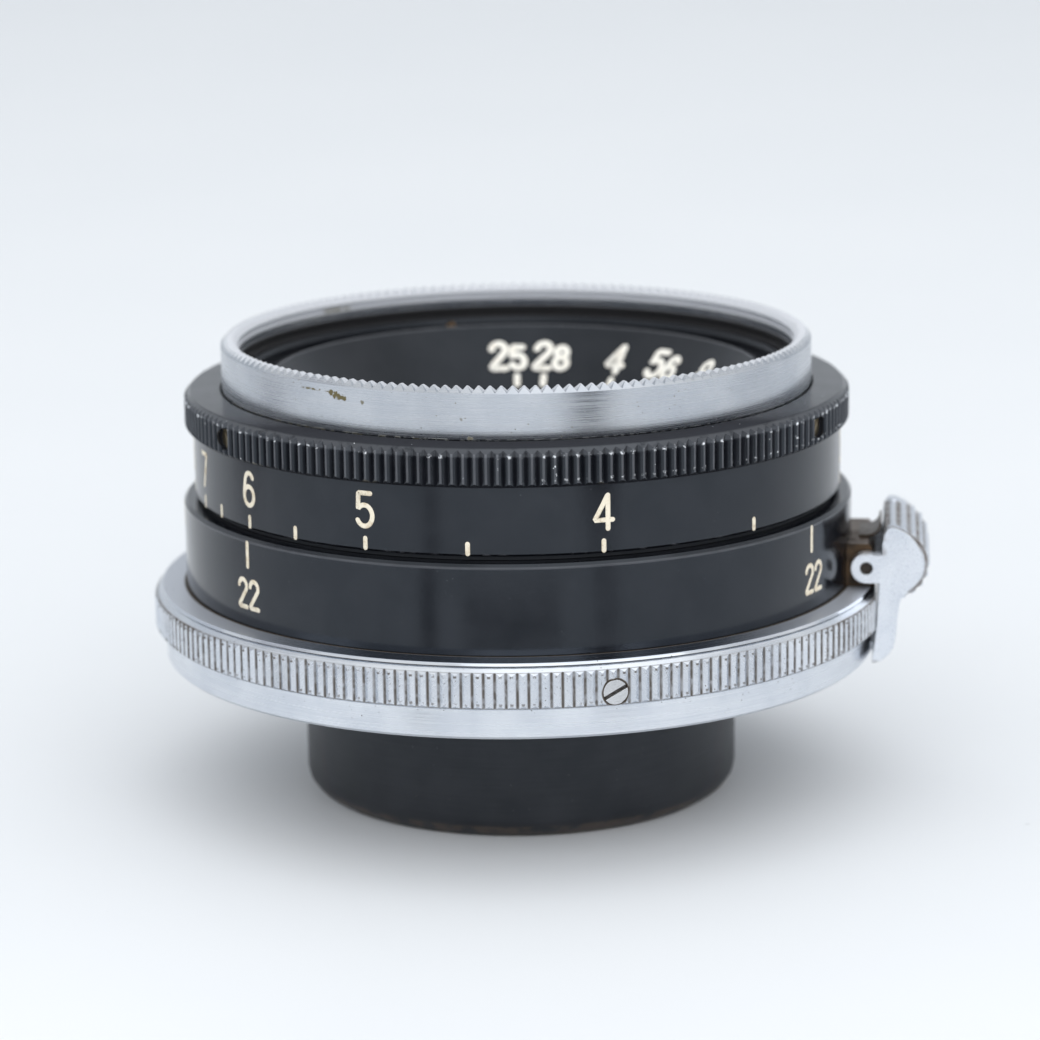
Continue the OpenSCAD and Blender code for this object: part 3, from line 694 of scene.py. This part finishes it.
def dress_all():
    dress(
        "mount_ring",
        chrome(
            "chrome_mount",
            light=0.71,
            soil=mount_soil,
            mirror=mount_mirror,
            dim=mount_top,
            frost=mount_frost,
            stain=(0.055, 0.040, 0.026),
            rough=0.22,
        ),
    )
    dress(
        "front_rim",
        chrome(
            "chrome_rim",
            light=0.55,
            rough=0.25,
            lines=11.0,
            soil=rim_soil,
            frost=rim_frost,
            paint=rim_paint,
            stain=OLIVE,
        ),
    )
    dress(
        "latch_lever",
        chrome(
            "chrome_latch",
            light=0.80,
            rough=0.30,
            lines=9.0,
            soil=latch_soil,
            edge=0.08,
            pits=0.06,
            lathe=False,
        ),
    )
    dress("bayonet_ring", chrome("steel_bayonet", light=0.66, rough=0.2, lines=8.0))
    dress("dof_ring", gloss_black("enamel_dof", wear_and_highlight=dof_wear, rough=0.15))
    dress("focus_ring", gloss_black("enamel_focus", wear_and_highlight=focus_wear, rough=0.19))
    dress(
        "grip_ring",
        gloss_black(
            "enamel_grip",
            chips=grip_chips,
            wear_and_highlight=grip_wear,
            dull=grip_dull,
            rough=0.22,
            edge=0.0,
        ),
    )
    dress("fscale_ring", gloss_black("enamel_fscale", wear_and_highlight=fscale_wear, rough=0.34, gloss=0.34))
    dress("nameplate_ring", gloss_black("enamel_nameplate", rough=0.3))
    dress("rear_shroud", matte_black("stoved_barrel", rough=0.44, brown_below=shroud_low + 0.9))
    dress(
        "mount_plate lens_block front_cell front_retainer doublet_retainer iris_plate iris_retainer "
        "rear_doublet_ring rear_cell rear_retainer focus_washer",
        matte_black("anodised_black", tint=0.9, rough=0.55),
    )
    dress(
        "latch_bracket",
        brass(
            "bracket_metal",
            (0.12, 0.080, 0.05),
            (0.028, 0.020, 0.014),
            rough=0.36,
            stain=0.95,
            lathe=False,
        ),
    )
    dress(
        "latch_spring",
        brass("spring_latch", (0.10, 0.078, 0.06), (0.035, 0.026, 0.018), rough=0.34, lathe=False),
    )
    dress(
        "bayonet_springs",
        brass("spring_bronze", (0.62, 0.47, 0.26), (0.22, 0.14, 0.07), rough=0.28, lathe=False),
    )
    dress(
        "helicoid_barrel block_ring focus_shim guide_keys",
        brass("turned_brass", (0.80, 0.60, 0.30), (0.38, 0.25, 0.11)),
    )
    dress("focus_sleeve", brass("helicoid_brass", (0.78, 0.58, 0.29), (0.36, 0.24, 0.11), rough=0.34))
    dress("iris_cam", brass("cam_brass", (0.60, 0.50, 0.33), (0.28, 0.20, 0.11), rough=0.32))
    # The pins are near-black: painted shade, so the latch pin's end reads as a dark hole.
    dress(
        "latch_pin focus_stop_pin",
        screw_metal("pin_dark_as_hole_shade", (0.045, 0.042, 0.04), lambda f: f.rise(f.noise(1.8), 0.25, 0.4)),
    )
    dress(
        "base_screws",
        screw_metal(
            "screw_mount",
            (0.80, 0.81, 0.83),
            lambda f: f.rise(f.radius, BASE_SLOT_R, BASE_SLOT_R - 0.14),
            rough=0.13,
        ),
    )
    dress(
        "grip_screws",
        screw_metal(
            "screw_grip",
            (0.40, 0.33, 0.22),
            lambda f: f.rise(f.radius, GRIP_SLOT_R, GRIP_SLOT_R - 0.16),
            rough=0.32,
        ),
    )
    dress(
        "rim_screws",
        screw_metal("screw_rim", (0.42, 0.27, 0.14), lambda f: f.rise(f.noise(3.0), 0.4, 0.6), rough=0.4),
    )
    dress(
        "bayonet_screws",
        screw_metal(
            "screw_bayonet",
            (0.66, 0.66, 0.68),
            lambda f: f.rise(f.z, BAYONET_SLOT_Z, BAYONET_SLOT_Z + 0.06),
        ),
    )
    dress(
        "plate_screws",
        screw_metal(
            "screw_plate",
            (0.66, 0.55, 0.34),
            lambda f: f.rise(f.z, PLATE_SLOT_Z, PLATE_SLOT_Z + 0.06),
        ),
    )
    dress(
        "sleeve_screws",
        screw_metal(
            "screw_sleeve",
            (0.70, 0.58, 0.34),
            lambda f: f.rise(f.z, SLEEVE_SLOT_Z, SLEEVE_SLOT_Z - 0.06),
        ),
    )
    dress(
        "bracket_screws",
        screw_metal(
            "screw_bracket",
            (0.60, 0.56, 0.48),
            lambda f: f.rise(latch_out(f), BRACKET_SLOT_OUT, BRACKET_SLOT_OUT - 0.08),
        ),
    )
    dress(
        "guide_screws drive_screw",
        screw_metal(
            "screw_guide",
            (0.60, 0.53, 0.40),
            lambda f: f.rise(f.radius, GUIDE_SLOT_R, GUIDE_SLOT_R - 0.12),
        ),
    )
    dress(
        "spring_rivets",
        screw_metal("rivet_brass", (0.72, 0.60, 0.38), lambda f: f.rise(f.noise(2.2), 0.5, 0.7)),
    )
    dress(" ".join(f"blade_{i}" for i in range(10)), blade_metal("blade_steel"))
    dress("element_1", coated_glass("glass_front"))
    dress("element_2 element_3 element_4 element_5", coated_glass("glass_inner", coat=(0.75, 0.70, 1.0)))
    dress("element_6", coated_glass("glass_rear", coat=(0.55, 0.66, 1.0)))


SMOOTH_BELOW = 30
smooth_group = smooth_modifier_group(SMOOTH_BELOW)
dress_all()


# ---------------------------------------------------------------- engraved figures

# Each figure is a width and a set of strokes in a box one unit high. The centre line of a stroke is
# a list of points. "~" stands for the infinity mark.


def arc(cx, cy, rx, ry, start, end, steps=14):
    """Points along an ellipse about (cx, cy), from `start` to `end` degrees."""
    turn = [math.radians(start + (end - start) * i / steps) for i in range(steps + 1)]
    return [(cx + rx * math.cos(a), cy + ry * math.sin(a)) for a in turn]


FIGURES = {
    "0": (
        0.50,
        [arc(0.25, 0.72, 0.25, 0.28, 0, 180) + arc(0.25, 0.28, 0.25, 0.28, 180, 360) + [(0.50, 0.72)]],
    ),
    "1": (0.22, [[(0.0, 0.80), (0.18, 1.0), (0.18, 0.0)]]),
    "2": (0.46, [arc(0.23, 0.76, 0.23, 0.24, 175, -28, 16) + [(0.02, 0.10), (0.0, 0.0), (0.46, 0.0)]]),
    "3": (
        0.48,
        [arc(0.22, 0.76, 0.22, 0.24, 150, -90) + arc(0.22, 0.26, 0.26, 0.26, 90, -150)],
    ),
    "4": (0.54, [[(0.38, 0.98), (0.0, 0.26), (0.54, 0.26)], [(0.40, 1.0), (0.40, 0.0)]]),
    "5": (
        0.50,
        [[(0.44, 1.0), (0.05, 1.0), (0.03, 0.56)] + arc(0.24, 0.32, 0.26, 0.32, 140, -152, 20)],
    ),
    "6": (
        0.50,
        [
            arc(0.27, 0.74, 0.21, 0.26, 30, 165, 10) + [(0.0, 0.42), (0.0, 0.28)],
            arc(0.25, 0.29, 0.25, 0.29, 0, 360, 24),
        ],
    ),
    "7": (0.48, [[(0.0, 1.0), (0.48, 1.0), (0.18, 0.0)]]),
    "8": (
        0.48,
        [arc(0.24, 0.77, 0.205, 0.23, 0, 360, 22), arc(0.24, 0.27, 0.24, 0.27, 0, 360, 22)],
    ),
    ".": (0.06, [[(0.03, 0.0), (0.03, 0.01)]]),
    "~": (
        1.05,
        [
            arc(0.26, 0.40, 0.26, 0.24, 45, 315, 20)
            + arc(0.79, 0.40, 0.26, 0.24, 225, 495, 20)
            + [(0.445, 0.23)],
        ],
    ),
}


class Strokes:
    """Collects round-ended strokes of paint and turns them into one mesh on a wrapped surface."""

    SIDES = 10
    CAP_DEGREES = (84, 60, 36, 14)

    def __init__(self, place, relief):
        """place(u, v, w) maps flat millimetres and height to the surface; relief is the bead's height."""
        self.place = place
        self.relief = relief
        self.vertices = []
        self.faces = []

    def stroke(self, line, width, angle):
        """One bead along `line`, `width` across, with round ends, at `angle` round the axis."""
        points = [Vector(p) for p in line]
        points = [p for i, p in enumerate(points) if i == 0 or (p - points[i - 1]).length > 1e-5]
        half = width / 2
        rings = []
        first = (points[1] - points[0]).normalized()
        last = (points[-1] - points[-2]).normalized()
        for t in self.CAP_DEGREES:
            a = math.radians(t)
            rings.append((points[0] - first * half * math.sin(a), first, math.cos(a)))
        for i, p in enumerate(points):
            before = (p - points[i - 1]).normalized() if i else first
            after = (points[i + 1] - p).normalized() if i < len(points) - 1 else last
            if before.dot(after) < 0.8:
                for direction in (before, after):
                    rings.append((p, direction, 1.0))
            else:
                rings.append((p, (before + after).normalized(), 1.0))
        for t in reversed(self.CAP_DEGREES):
            a = math.radians(t)
            rings.append((points[-1] + last * half * math.sin(a), last, math.cos(a)))
        base = len(self.vertices)
        n = self.SIDES
        for centre, direction, size in rings:
            side = Vector((-direction.y, direction.x))
            for k in range(n):
                a = 2 * math.pi * k / n
                flat = centre + side * (half * size * math.cos(a))
                self.vertices.append(self.place(flat.x, flat.y, self.relief * size * math.sin(a), angle))
        for i in range(len(rings) - 1):
            for k in range(n):
                a, b = base + i * n + k, base + i * n + (k + 1) % n
                self.faces.append((a, b, b + n, a + n))
        self.faces.append(tuple(base + k for k in reversed(range(n))))
        end = base + (len(rings) - 1) * n
        self.faces.append(tuple(end + k for k in range(n)))

    def text(self, characters, angle, foot, heights, width, space):
        """Figures centred on `angle`. heights gives each one's overall height; foot is their lower edge."""
        sizes = [h - width for h in heights]
        widths = [FIGURES[c][0] * s for c, s in zip(characters, sizes)]
        total = sum(widths) + (space + width) * (len(characters) - 1)
        u = -total / 2
        for c, s, w in zip(characters, sizes, widths):
            for line in FIGURES[c][1]:
                self.stroke([(u + x * s, foot + width / 2 + y * s) for x, y in line], width, angle)
            u += w + space + width

    def tick(self, angle, low, high, width):
        """An upright mark from `low` to `high`."""
        self.stroke([(0.0, low + width / 2), (0.0, high - width / 2)], width, angle)

    def build(self, name, material, body):
        mesh = bpy.data.meshes.new(name)
        mesh.from_pydata([v * MM for v in self.vertices], [], self.faces)
        mesh.validate()
        mesh.update()
        for polygon in mesh.polygons:
            polygon.use_smooth = True
        piece = bpy.data.objects.new(name, mesh)
        bpy.context.scene.collection.objects.link(piece)
        mesh.materials.append(material)
        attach(piece, body)
        return piece


def on_cylinder(radius):
    """Figures round an outer wall; v is the height."""

    def place(u, v, w, angle):
        return around(angle + math.degrees(u / radius), radius + w, v)

    return place


FSCALE_SLOPE = math.sqrt(0.5)
FSCALE_FOOT_R = 14.05
FSCALE_FOOT_Z = 17.15


def on_fscale_cone(u, v, w, angle):
    """The aperture scale faces inwards on a 45 degree cone; v runs up the slope from its inner edge."""
    radius = FSCALE_FOOT_R + v * FSCALE_SLOPE
    turn = math.degrees(u / radius)
    return around(angle - turn, radius - w * FSCALE_SLOPE, FSCALE_FOOT_Z + (v + w) * FSCALE_SLOPE)


cream = scale_paint("scale_cream", (0.80, 0.735, 0.60), (0.47, 0.36, 0.22), soil=0.62)
white = scale_paint("scale_white", (0.93, 0.91, 0.84), (0.70, 0.62, 0.50), soil=0.35)

PAINT_RELIEF = 0.022
CONE_RELIEF = 0.03
TICK_WIDTH = 0.36

# The focus throw follows the lens formula: a 35 mm lens on a 2 mm lead, distances in feet.
FOCAL = 35.0
LEAD = 2.0
FOOT = 304.8
FORMULA_START = -177.9
INFINITY_AT = -176.6


def image_distance(total):
    """Lens-to-film distance when subject and film are `total` millimetres apart."""
    return (total - math.sqrt(total * total - 4 * total * FOCAL)) / 2


def focus_angle(feet):
    return FORMULA_START + 360 * (image_distance(feet * FOOT) - FOCAL) / LEAD


def distance_scale():
    """Feet on the focus ring, with marks at its lower edge."""
    strokes = Strokes(on_cylinder(focus_r), PAINT_RELIEF)
    numbered = (3, 4, 5, 6, 7, 8, 10, 15, 25)
    plain = (3.5, 4.5, 5.5, 6.5, 9, 12, 20, 50)
    foot = focus_low + 1.62
    tick_low = focus_low + 0.05
    tick_high = focus_low + 1.10
    for feet in numbered:
        label = str(feet)
        strokes.text(label, focus_angle(feet), foot, [2.78] * len(label), 0.37, 0.13)
    for feet in (*numbered, *plain):
        strokes.tick(focus_angle(feet), tick_low, tick_high, TICK_WIDTH)
    strokes.text("~", INFINITY_AT, foot, [2.6], 0.37, 0.1)
    strokes.tick(INFINITY_AT, tick_low, tick_high, TICK_WIDTH)
    strokes.build("distance_scale", cream, "focus")


# Degrees either side of the focus index. The latch stands where one 16 would be, so 16 has no figures.
DOF_INDEX = 183.4
DOF_SPREAD = {"22": 126.0, "16": 91.6, "11": 63.0, "8": 45.8, "5.6": 32.0, "4": 22.9}
DOF_UNLABELLED = "16"
DOF_FIGURE_SHIFT = {("22", -1): 0.9}
DOF_FIGURE_FOOT = 6.90


def depth_scale():
    """Stops on both sides of the focus index, on the fixed ring."""
    strokes = Strokes(on_cylinder(dof_r), PAINT_RELIEF)
    for label, spread in DOF_SPREAD.items():
        for side in (-1, 1):
            angle = DOF_INDEX + side * spread
            strokes.tick(angle, dof_top - 2.30, dof_top - 0.20, TICK_WIDTH)
            if label != DOF_UNLABELLED:
                shift = DOF_FIGURE_SHIFT.get((label, side), 0.0)
                heights = [2.4] * len(label)
                strokes.text(label, angle + shift, DOF_FIGURE_FOOT, heights, TICK_WIDTH, 0.08)
    strokes.tick(DOF_INDEX, dof_top - 3.4, dof_top - 0.20, 0.42)
    strokes.build("depth_scale", cream, "mount")


# Angles of each stop's figures and of its mark.
APERTURE_STOPS = {
    "25": (182.3, 179.8),
    "28": (169.8, 171.5),
    "4": (150.4, 149.5),
    "56": (133.9, 132.8),
    "8": (116.8, 115.9),
    "11": (99.8, 98.9),
    "16": (82.8, 81.9),
    "22": (66.0, 64.8),
}
DECIMAL_STOPS = ("25", "28", "56")


def aperture_scale():
    """Stops on the inside of the rim's cone. A decimal figure is smaller and has no point."""
    strokes = Strokes(on_fscale_cone, CONE_RELIEF)
    for label, (angle, _) in APERTURE_STOPS.items():
        heights = [3.0, 2.62] if label in DECIMAL_STOPS else [3.0] * len(label)
        strokes.text(label, angle, 1.70, heights, 0.60, -0.12)
    for _, angle in APERTURE_STOPS.values():
        strokes.tick(angle, 0.15, 1.50, 0.55)
    strokes.build("aperture_scale", white, "aperture")


NAMEPLATE_IN = Vector((10.6, 15.98))
NAMEPLATE_OUT = Vector((13.76, 16.98))


def on_nameplate(u, v, w, angle):
    """v runs outwards over the nameplate's shallow cone from its inner edge."""
    slope = (NAMEPLATE_OUT - NAMEPLATE_IN).normalized()
    radius = NAMEPLATE_IN.x + v * slope.x - w * slope.y
    return around(angle - math.degrees(u / radius), radius, NAMEPLATE_IN.y + v * slope.y + w * slope.x)


def aperture_index():
    """The white mark that the aperture scale is read against."""
    strokes = Strokes(on_nameplate, CONE_RELIEF)
    strokes.tick(180.0, 1.7, 3.1, 0.5)
    strokes.build("aperture_index", white, "optics")


distance_scale()
depth_scale()
aperture_scale()
aperture_index()


# ---------------------------------------------------------------- stage, light, camera


def stage_floor():
    """A broad pale sheet under the lens. Its far part curves up into a backdrop."""
    width = 3000.0
    front_y = -1600.0
    back_y = 1500.0
    bend = 500.0
    top = 2200.0
    profile = [(front_y, 0.0), (back_y, 0.0)]
    for i in range(1, 13):
        a = math.radians(90 * i / 12)
        profile.append((back_y + bend * math.sin(a), bend * (1 - math.cos(a))))
    profile.append((back_y + bend, top))
    vertices = []
    for y, z in profile:
        for x in (-width, width):
            vertices.append(Vector((x, y, z + shroud_low - 0.02)) * MM)
    faces = [(2 * i, 2 * i + 1, 2 * i + 3, 2 * i + 2) for i in range(len(profile) - 1)]
    mesh = bpy.data.meshes.new("sweep")
    mesh.from_pydata(vertices, [], faces)
    mesh.update()
    for polygon in mesh.polygons:
        polygon.use_smooth = True
    sweep = bpy.data.objects.new("sweep", mesh)
    bpy.context.scene.collection.objects.link(sweep)
    f = Finish("paper")
    shade = f.noise(0.02, detail=4.0)
    speck = f.mul(f.specks(0.12, 0.03), f.rise(f.noise(0.03), 0.5, 0.6))
    paper = f.mix(shade, (0.78, 0.805, 0.835), (0.82, 0.84, 0.865))
    f.set(
        Base_Color=f.mix(f.mul(speck, 0.3), paper, (0.45, 0.46, 0.48)),
        Roughness=0.55,
        Specular_IOR_Level=0.25,
    )
    mesh.materials.append(f.material)


def reflected_card(name, angle, distance, size, grey, strength, soft):
    """A studio card with soft edges that only shows as a reflection.

    `angle` is counted round the lens axis. `size` is its width and the heights of its lower and
    upper edges. `strength` is how far it covers what is behind it.
    """
    width, low, top = size
    a = math.radians(angle)
    centre = Vector((distance * math.sin(a), -distance * math.cos(a), 0.0))
    side = Vector((math.cos(a), math.sin(a), 0.0))
    foot = Vector((0, 0, low))
    head = Vector((0, 0, top))
    half = side * (width / 2)
    corners = [centre - half + foot, centre + half + foot, centre + half + head, centre - half + head]
    mesh = bpy.data.meshes.new(name)
    mesh.from_pydata([c * MM for c in corners], [], [(0, 1, 2, 3)])
    card = bpy.data.objects.new(name, mesh)
    bpy.context.scene.collection.objects.link(card)
    card.visible_camera = False
    card.visible_diffuse = False
    card.visible_shadow = False
    f = Finish(name)
    across = f.add(f.mul(f.x, side.x), f.mul(f.y, side.y))
    middle = f.band(across, soft - width / 2, width / 2 - soft, soft)
    darker = (0.8 * grey, 0.8 * grey, 0.85 * grey)
    f.set(
        Base_Color=f.mix(f.noise(0.02), darker, (grey, grey, 1.05 * grey)),
        Roughness=0.9,
        Alpha=f.mul(f.mul(middle, f.band(f.z, low + soft, top - soft, soft)), strength),
    )
    mesh.materials.append(f.material)


def studio_cards():
    """The dark bands on the rim and on the depth-of-field ring are reflections of these."""
    reflected_card(
        "card_right",
        23,
        62,
        (12, shroud_low, 60.0),
        grey=0.25,
        strength=0.45,
        soft=2.5,
    )
    reflected_card(
        "card_right_high",
        22,
        60,
        (15, 6.0, 60.0),
        grey=0.05,
        strength=0.95,
        soft=2.5,
    )
    reflected_card(
        "card_left",
        -24,
        62,
        (8, shroud_low, 14.0),
        grey=0.10,
        strength=0.75,
        soft=2.0,
    )
    reflected_card(
        "card_camera",
        -2,
        62,
        (34, -7.5, 4.0),
        grey=0.10,
        strength=0.60,
        soft=3.0,
    )
    reflected_card(
        "card_far_right",
        92,
        90,
        (60, shroud_low, 130.0),
        grey=0.55,
        strength=0.25,
        soft=12.0,
    )
    reflected_card(
        "card_far_left",
        -96,
        90,
        (40, shroud_low, 130.0),
        grey=0.55,
        strength=0.85,
        soft=8.0,
    )


def sky():
    """Even studio surround, slightly cool, brighter overhead."""
    world = bpy.data.worlds.new("studio")
    world.use_nodes = True
    tree = world.node_tree
    direction = tree.nodes.new("ShaderNodeTexCoord").outputs["Generated"]
    split = tree.nodes.new("ShaderNodeSeparateXYZ")
    ramp = tree.nodes.new("ShaderNodeValToRGB")
    ramp.color_ramp.elements[0].position = 0.0
    ramp.color_ramp.elements[0].color = (0.82, 0.85, 0.885, 1)
    ramp.color_ramp.elements[1].position = 0.8
    ramp.color_ramp.elements[1].color = (0.955, 0.97, 0.98, 1)
    tree.links.new(direction, split.inputs[0])
    tree.links.new(split.outputs["Z"], ramp.inputs[0])
    tree.links.new(ramp.outputs[0], tree.nodes["Background"].inputs["Color"])
    tree.nodes["Background"].inputs["Strength"].default_value = 1.0
    bpy.context.scene.world = world


def soft_light(name, place, aim, size, power, colour):
    """A rectangular lamp; place, aim and size are in millimetres and power in watts."""
    data = bpy.data.lights.new(name, "AREA")
    data.shape = "RECTANGLE"
    data.size, data.size_y = (s * MM for s in size)
    data.energy = power
    data.color = colour
    lamp = bpy.data.objects.new(name, data)
    lamp.location = Vector(place) * MM
    lamp.rotation_mode = "QUATERNION"
    lamp.rotation_quaternion = (Vector(aim) - Vector(place)).to_track_quat("-Z", "Y")
    bpy.context.scene.collection.objects.link(lamp)


def lights():
    soft_light("overhead", (60, 30, 620), (0, 0, 0), (560, 460), 0.5, (0.97, 0.985, 1.0))
    soft_light("front", (120, -520, 330), (0, -20, 0), (700, 600), 1.65, (1.0, 0.99, 0.98))
    soft_light("left_fill", (-620, -260, 330), (0, 0, 5), (300, 420), 0.45, (0.95, 0.975, 1.0))


CAMERA_DISTANCE = 288.0
CAMERA_HEIGHT_ANGLE = 13.18
CAMERA_ROLL = -0.788
CAMERA_AIM = (0.13, 0.0, 9.58)
FOCUS_NEARER = 25.0
FIELD_RATIO = 1040 / 3729


def camera():
    """Looks along +Y and down at the lens; the picture's focus lies on the nearest stretch of the rings."""
    down = math.radians(CAMERA_HEIGHT_ANGLE)
    roll = math.radians(CAMERA_ROLL)
    forward = Vector((0, math.cos(down), -math.sin(down)))
    right = Vector((1, 0, 0))
    up = Vector((0, math.sin(down), math.cos(down)))
    focus_mark = bpy.data.objects.new("focus_mark", None)
    focus_mark.location = (Vector(CAMERA_AIM) - forward * FOCUS_NEARER) * MM
    bpy.context.scene.collection.objects.link(focus_mark)
    data = bpy.data.cameras.new("camera")
    data.sensor_width = 36.0
    data.lens = data.sensor_width / FIELD_RATIO
    data.clip_start = 0.01
    data.clip_end = 20.0
    data.dof.use_dof = True
    data.dof.focus_object = focus_mark
    data.dof.aperture_fstop = 36.0
    eye = bpy.data.objects.new("camera", data)
    across = right * math.cos(roll) + up * math.sin(roll)
    top = up * math.cos(roll) - right * math.sin(roll)
    turn = np.array([across, top, -forward]).T
    eye.rotation_mode = "QUATERNION"
    eye.rotation_quaternion = Matrix(turn.tolist()).to_quaternion()
    eye.location = (Vector(CAMERA_AIM) - forward * CAMERA_DISTANCE) * MM
    bpy.context.scene.collection.objects.link(eye)
    bpy.context.scene.camera = eye


stage_floor()
studio_cards()
sky()
lights()
camera()
bpy.context.scene.view_settings.view_transform = "Standard"
